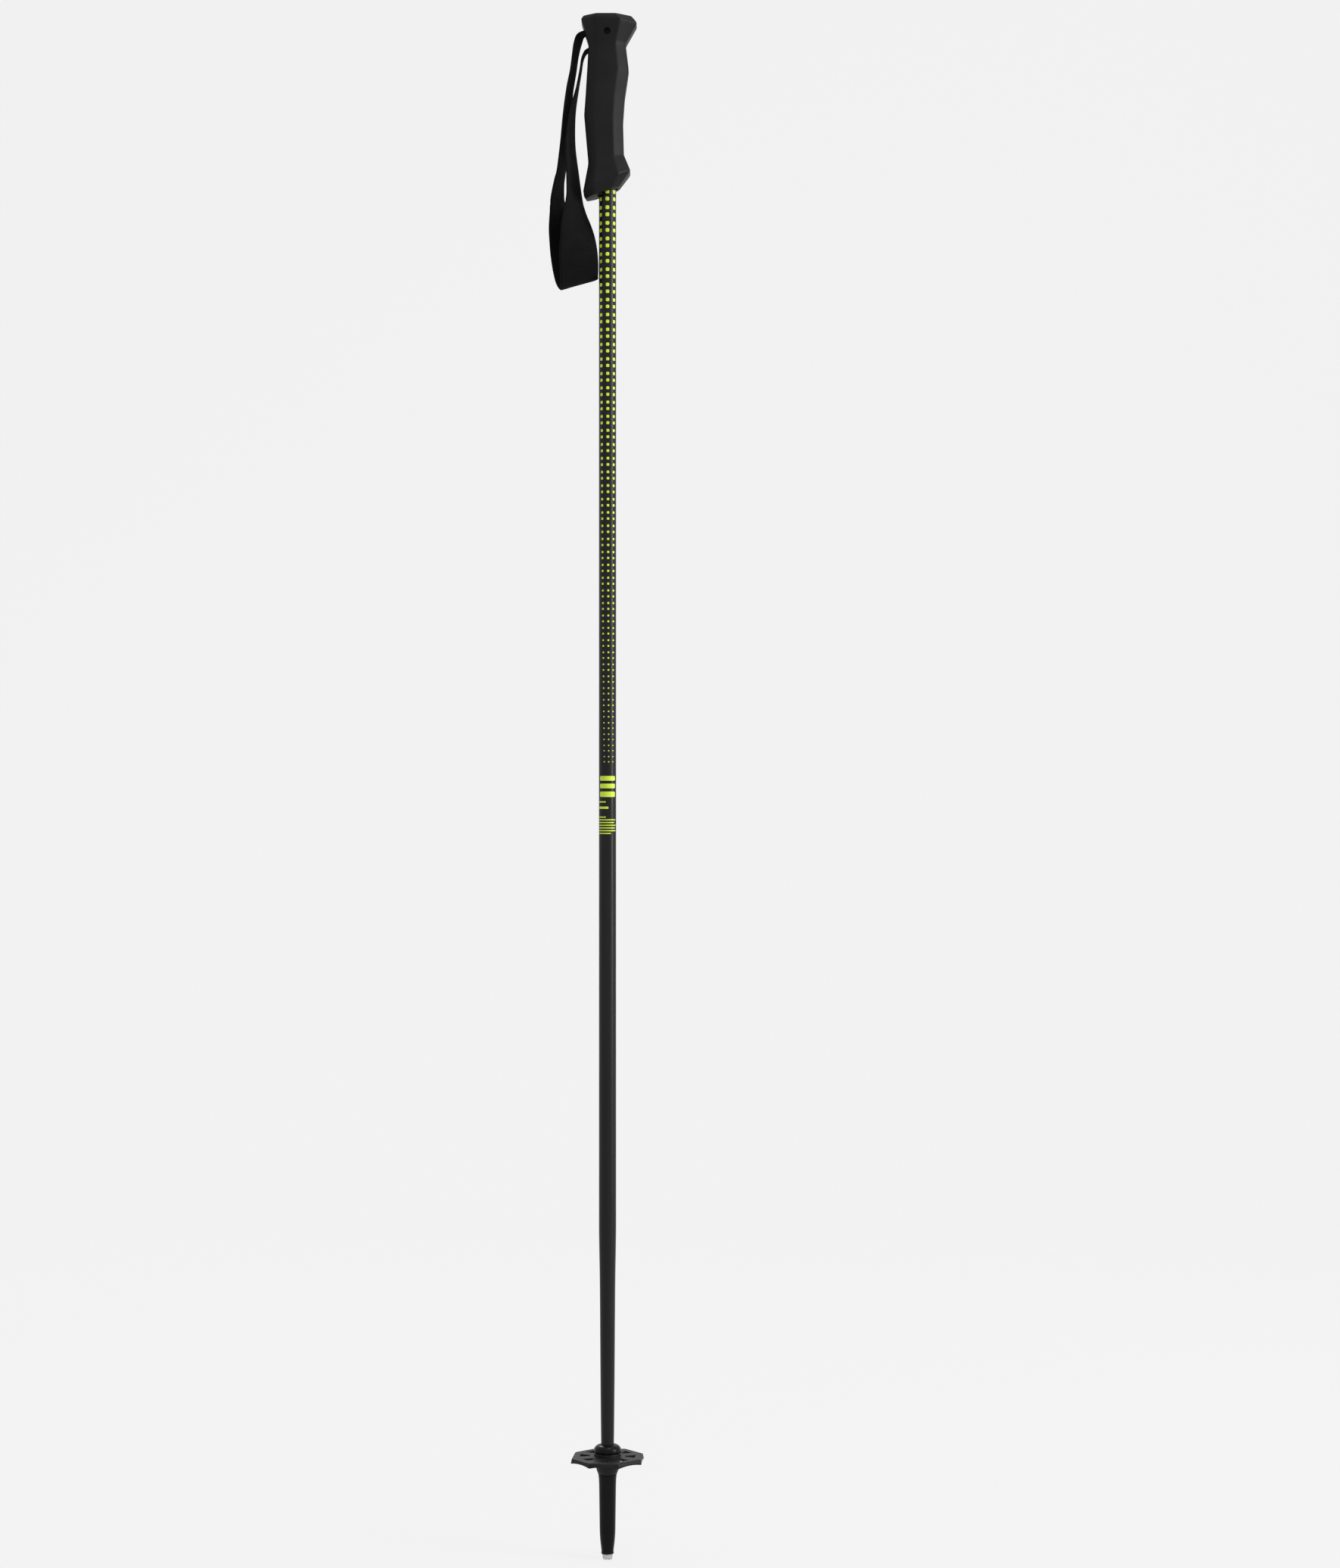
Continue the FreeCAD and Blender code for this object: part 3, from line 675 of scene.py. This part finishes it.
def rounded_end(ring, beside):
    """Rings that round the edge between the grip's side and its flat end."""
    middle = sum(ring, Vector()) / len(ring)
    rings = [[], [], []]
    for place, neighbour in zip(ring, beside):
        on_side = place + (neighbour - place).normalized() * GRIP_RIM
        on_end = place + (middle - place).normalized() * GRIP_RIM
        rings[0].append(on_side)
        rings[1].append(on_side.lerp(place, 0.5).lerp(place.lerp(on_end, 0.5), 0.5))
        rings[2].append(on_end)
    return rings


def grip_rings():
    """Sections at close steps up the grip, with the folds between the facets softened."""
    stations = [station_corners(*row) for row in GRIP_STATIONS]
    curves = [stations[0]]
    for lower, upper in zip(stations, stations[1:]):
        span = sum((b - a).length for a, b in zip(lower, upper)) / len(lower)
        steps = max(2, round(span / GRIP_STEP))
        for step in range(1, steps + 1):
            curves.append([a.lerp(b, step / steps) for a, b in zip(lower, upper)])
    for _ in range(GRIP_SMOOTHING):
        inner = [
            [(a + 2 * b + c) / 4 for a, b, c in zip(*curves[number - 1:number + 2])]
            for number in range(1, len(curves) - 1)
        ]
        curves = [curves[0], *inner, curves[-1]]
    rings = [rounded_corners(corners) for corners in curves]
    bottom = rounded_end(rings[0], rings[2])
    top = rounded_end(rings[-1], rings[-3])
    return bottom[::-1] + rings[2:-2] + top


def closed_skin(rings):
    """A mesh through rings of points, with flat ends."""
    shell = bmesh.new()
    rows = [[shell.verts.new(place) for place in ring] for ring in rings]
    for below, above in zip(rows, rows[1:]):
        for step in range(len(below)):
            after = (step + 1) % len(below)
            shell.faces.new((below[step], below[after], above[after], above[step]))
    shell.faces.new(rows[0][::-1])
    shell.faces.new(rows[-1])
    bmesh.ops.recalc_face_normals(shell, faces=shell.faces)
    mesh = bpy.data.meshes.new("skin")
    shell.to_mesh(mesh)
    shell.free()
    return mesh


def box_mesh(low, high):
    """A plain block between two corners, in millimetres. It is only ever cut away."""
    mesh = bpy.data.meshes.new("block")
    shell = bmesh.new()
    bmesh.ops.create_cube(shell, size=1.0)
    for vert in shell.verts:
        places = zip(low, high, vert.co)
        vert.co = Vector([MM * (a + (b - a) * (part + 0.5)) for a, b, part in places])
    shell.to_mesh(mesh)
    shell.free()
    return mesh


def cut_away(piece, meshes):
    """Take closed meshes out of a piece."""
    for mesh in meshes:
        tool = bpy.data.objects.new("tool", mesh)
        scene.collection.objects.link(tool)
        cut = piece.modifiers.new("cut", "BOOLEAN")
        cut.operation = "DIFFERENCE"
        cut.solver = "EXACT"
        cut.object = tool
        applied(piece)
        bpy.data.objects.remove(tool)


def make_grip():
    shape = closed_skin(grip_rings())
    skin = add_piece("grip_skin", shape, grip_rubber(), "pole", ["grip_cover"])
    pin_hole = lathe([(radius * MM, height * MM) for radius, height in PIN_HOLE], PIN_HOLE_TURNS)
    for vert in pin_hole.vertices:
        vert.co = Vector((vert.co.x, vert.co.z, vert.co.y + PIN_HEIGHT * MM))
    pin_hole.flip_normals()
    bore = lathe([(radius * MM, height * MM) for radius, height in GRIP_BORE])
    cut_away(skin, [bore, *(box_mesh(low, high) for low, high in STRAP_SPACES), pin_hole])
    cleaned(skin)
    smooth_by_angle(skin, GRIP_SHARP_ANGLE)
    hidden = moulded_plastic("core_plastic", (0.008, 0.008, 0.008), (0.012, 0.012, 0.012), 0.6, 0.00002)
    pin = worn_metal("pin_metal", (0.12, 0.12, 0.125), 0.45)
    for node, look in (("grip_core", hidden), ("shaft_top_plug", hidden), ("strap_pin", pin)):
        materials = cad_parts[node].data.materials
        materials.clear()
        materials.append(look)


# ---------------------------------------------------------------- strap

# The strap is one loop of webbing. Each row is the middle of the webbing (x, y, z), its width,
# its twist about the vertical and the lift of its far edge, in millimetres and degrees. It
# leaves the upper slot, hangs down the outer run, turns, comes up the inner run, goes in at the
# lower slot and round the cross pin.
STRAP = (
    (-9.0, 0.0, 1237.9, 15.0, 0.0, 0.0),
    (-14.0, 0.0, 1237.9, 15.0, 2.0, 0.0),
    (-18.3, 0.0, 1237.7, 15.0, 10.0, 0.0),
    (-22.3, 0.0, 1234.6, 15.0, 20.0, 0.0),
    (-24.6, 0.0, 1228.2, 15.2, 20.0, 0.0),
    (-26.2, 0.0, 1219.5, 15.6, 16.5, 0.0),
    (-27.9, 0.0, 1207.0, 16.2, 15.0, 0.0),
    (-30.6, 0.0, 1192.0, 17.6, 15.5, 0.0),
    (-32.9, 0.4, 1172.0, 19.8, 16.0, 0.0),
    (-35.0, 0.9, 1148.0, 22.3, 15.0, 0.0),
    (-37.7, 1.9, 1126.0, 24.7, 13.5, 0.0),
    (-39.3, 2.4, 1117.5, 25.7, 15.5, 0.0),
    (-40.6, 3.3, 1105.0, 27.1, 21.0, 0.0),
    (-40.2, 4.0, 1099.0, 27.8, 27.0, 0.0),
    (-38.9, 4.8, 1093.0, 28.6, 36.0, 0.0),
    (-36.4, 7.2, 1082.0, 29.9, 51.0, 0.0),
    (-33.7, 9.7, 1071.0, 31.0, 63.0, 1.0),
    (-31.5, 11.9, 1060.0, 31.9, 71.0, 4.0),
    (-29.4, 12.2, 1049.0, 32.3, 74.0, 8.0),
    (-27.0, 9.2, 1040.0, 32.5, 74.0, 13.0),
    (-24.6, 4.7, 1035.6, 32.5, 74.0, 16.0),
    (-23.0, 0.0, 1034.4, 32.5, 74.0, 17.5),
    (-22.8, -4.7, 1035.6, 32.5, 74.0, 16.0),
    (-22.6, -9.2, 1040.0, 32.5, 74.0, 13.0),
    (-22.7, -12.2, 1049.0, 32.3, 74.0, 8.0),
    (-23.2, -11.9, 1060.0, 31.9, 71.0, 4.0),
    (-23.8, -9.7, 1071.0, 31.0, 63.0, 1.0),
    (-24.8, -7.2, 1082.0, 29.9, 51.0, 0.0),
    (-25.9, -4.8, 1093.0, 28.6, 36.5, 0.0),
    (-26.3, -4.0, 1099.0, 27.8, 30.0, 0.0),
    (-26.7, -3.3, 1105.0, 27.1, 26.0, 0.0),
    (-27.7, -2.4, 1117.5, 25.7, 23.2, 0.0),
    (-28.4, -1.9, 1126.0, 24.7, 22.1, 0.0),
    (-30.0, -0.9, 1148.0, 22.3, 18.6, 0.0),
    (-28.5, -0.4, 1172.0, 19.8, 12.0, 0.0),
    (-24.6, 0.0, 1192.0, 17.6, 3.0, 0.0),
    (-21.9, 0.0, 1207.0, 16.2, 1.0, 0.0),
    (-20.4, 0.0, 1216.5, 15.3, 1.0, 0.0),
    (-18.0, 0.0, 1222.0, 15.0, 1.0, 0.0),
    (-14.6, 0.0, 1224.4, 15.0, 0.0, 0.0),
    (-10.5, 0.0, 1226.6, 15.0, 0.0, 0.0),
    (-4.5, 0.0, 1230.3, 15.0, 0.0, 0.0),
    (1.2, 0.0, 1233.8, 15.0, 0.0, 0.0),
    (2.5, 0.0, 1236.3, 15.0, 0.0, 0.0),
    (0.2, 0.0, 1238.5, 15.0, 0.0, 0.0),
)
WEBBING = 1.35 * MM
RIB_PITCH = 1.1 * MM
RIB_HEIGHT = 0.2 * MM
RIB_STEPS = 4
ACROSS = 18
# how sharply the webbing thins at its edges, how much, and how far its surface wanders
EDGE_POWER = 10
EDGE_THINNING = 0.55
SCALLOP = 0.16 * MM
WANDER = 0.03 * MM


def strap_section(row, along):
    """Directions across the webbing and through it at one row of the path."""
    twist, lift = math.radians(row[4]), math.radians(row[5])
    level = math.cos(lift)
    across = Vector((math.sin(twist) * level, math.cos(twist) * level, math.sin(lift)))
    across = (across - along * across.dot(along)).normalized()
    return across, along.cross(across)


def make_strap():
    """The whole loop as one ribbed band with thicker, slightly scalloped edges."""
    rows = [[x * MM, y * MM, z * MM, width * MM, twist, lift] for x, y, z, width, twist, lift in STRAP]
    path, length = curve_through(rows, True, RIB_PITCH / RIB_STEPS)
    count = len(path)
    shell = bmesh.new()
    rings = []
    area = 0.0
    for number, row in enumerate(path):
        here = Vector(row[:3])
        before = Vector(path[number - 1][:3])
        after = Vector(path[(number + 1) % count][:3])
        across, through = strap_section(row, (after - before).normalized())
        area += row[3] * length / count
        rings.append(strap_ring(shell, here, across, through, row[3], number))
    for number, ring in enumerate(rings):
        following = rings[(number + 1) % count]
        for corner in range(len(ring)):
            beside = (corner + 1) % len(ring)
            shell.faces.new((ring[corner], ring[beside], following[beside], following[corner]))
    bmesh.ops.recalc_face_normals(shell, faces=shell.faces)
    mesh = bpy.data.meshes.new("strap")
    shell.to_mesh(mesh)
    shell.free()
    mesh.shade_smooth()
    # how far up its rib each point is; the webbing's colour uses it as painted shade in the hollows and
    # a painted highlight on the crowns
    painted_rib_shading = mesh.attributes.new("painted_rib_shading", "FLOAT", "POINT")
    per_ring = len(rings[0])
    heights = [rib_height(index // per_ring) for index in range(len(mesh.vertices))]
    painted_rib_shading.data.foreach_set("value", heights)
    replaced = ["strap_outer_run", "strap_inner_run", "strap_anchor"]
    strap = add_piece("strap", mesh, webbing_cloth(), None, replaced)
    width = max(row[3] for row in rows)
    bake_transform(strap)
    area = min(area, width * length)


def rib_height(number):
    """How far up its rib a ring of points is, from 0 to 1."""
    return 0.5 - 0.5 * math.cos(2 * math.pi * number / RIB_STEPS)


def strap_ring(shell, here, across, through, width, number):
    """One ring of points round the webbing: its inner face, then back along its outer face."""
    ring = []
    rib = rib_height(number)
    for side in (1, -1):
        for column in range(ACROSS + 1):
            share = side * (-1 + 2 * column / ACROSS)
            edge = abs(share) ** EDGE_POWER
            wobble = noise.noise(Vector((number * 0.11, share * 7.0, side * 3.0)))
            height = WEBBING / 2 + RIB_HEIGHT * (rib - 0.5) * (1 - edge) + WANDER * wobble
            height *= 1 - EDGE_THINNING * edge
            reach = width / 2 - SCALLOP * (1 - rib) * edge
            ring.append(shell.verts.new(here + across * share * reach + through * side * height))
    return ring


# ---------------------------------------------------------------- the picture

make_camera()
make_lights()
make_stage()
make_shaft()
make_marks()
make_ferrule()
make_basket()
make_tip()
make_grip()
make_strap()

scene.view_settings.view_transform = "Standard"
